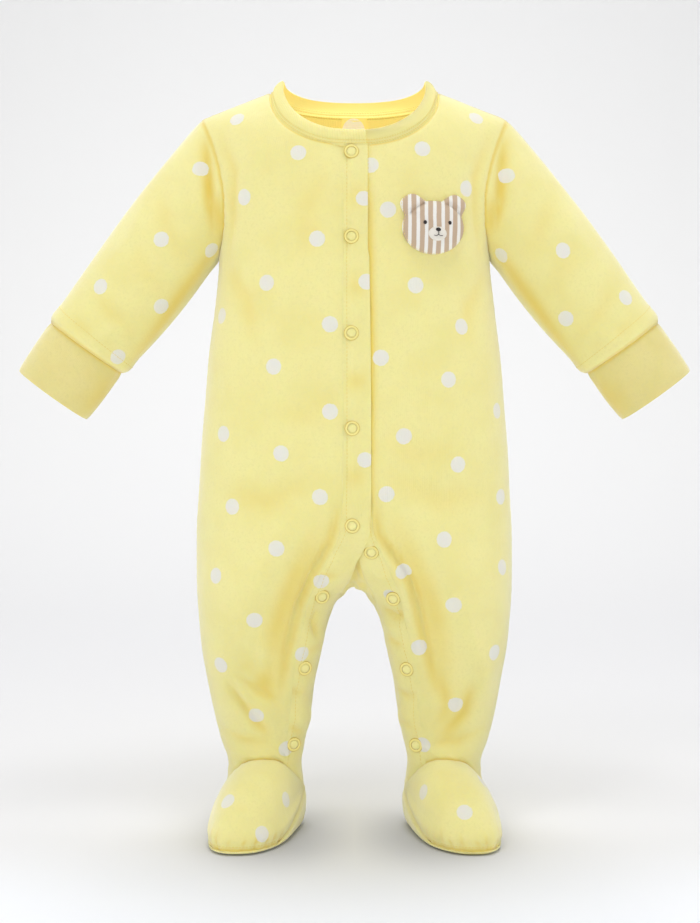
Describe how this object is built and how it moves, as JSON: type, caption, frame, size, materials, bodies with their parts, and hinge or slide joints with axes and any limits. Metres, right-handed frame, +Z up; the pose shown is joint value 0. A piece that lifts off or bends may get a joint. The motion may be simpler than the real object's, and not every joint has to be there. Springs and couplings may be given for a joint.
{
  "type": "footed baby sleepsuit",
  "caption": "Footed baby sleepsuit of dotted jersey, filled out as worn, with a snap front, plain cuffs, ribbed neckband and closed feet.",
  "frame": {"origin": "middle of the neck opening, level with the neck points of the shoulders, where the wearer's shoulders and neck hold the garment", "axes": "+Z up towards the neck, -Y towards the garment's front, +X towards the wearer's left"},
  "size_m": [0.4842, 0.1499, 0.5387],
  "materials": {
    "dotted_jersey": "pale lemon cotton jersey with printed off-white dots, matt",
    "cuff_jersey": "plain lemon jersey, doubled, matt",
    "neck_rib": "fine lemon rib, matt",
    "snap_paint": "yellow painted ring snaps, satin",
    "ticking": "brown and off-white striped cotton, padded",
    "label_cloth": "pale woven tag with a plain disc"
  },
  "bodies": {
    "root": {"front_right": "dotted_jersey", "front_left": "dotted_jersey", "back": "dotted_jersey", "placket_right": "dotted_jersey", "placket_left": "dotted_jersey", "crotch_strip": "dotted_jersey", "sleeve_right": "dotted_jersey", "sleeve_left": "dotted_jersey", "foot_top_right": "dotted_jersey", "foot_top_left": "dotted_jersey", "sole_right": "dotted_jersey", "sole_left": "dotted_jersey", "cuff_right": "cuff_jersey", "cuff_left": "cuff_jersey", "neckband": "neck_rib", "label": "label_cloth", "bear_patch": "ticking", "snap_1": "snap_paint", "snap_2": "snap_paint", "snap_3": "snap_paint", "snap_4": "snap_paint", "snap_5": "snap_paint", "snap_6": "snap_paint", "snap_7": "snap_paint", "snap_8": "snap_paint", "snap_9": "snap_paint", "snap_10": "snap_paint", "snap_11": "snap_paint", "snap_12": "snap_paint"}
  },
  "joints": []
}
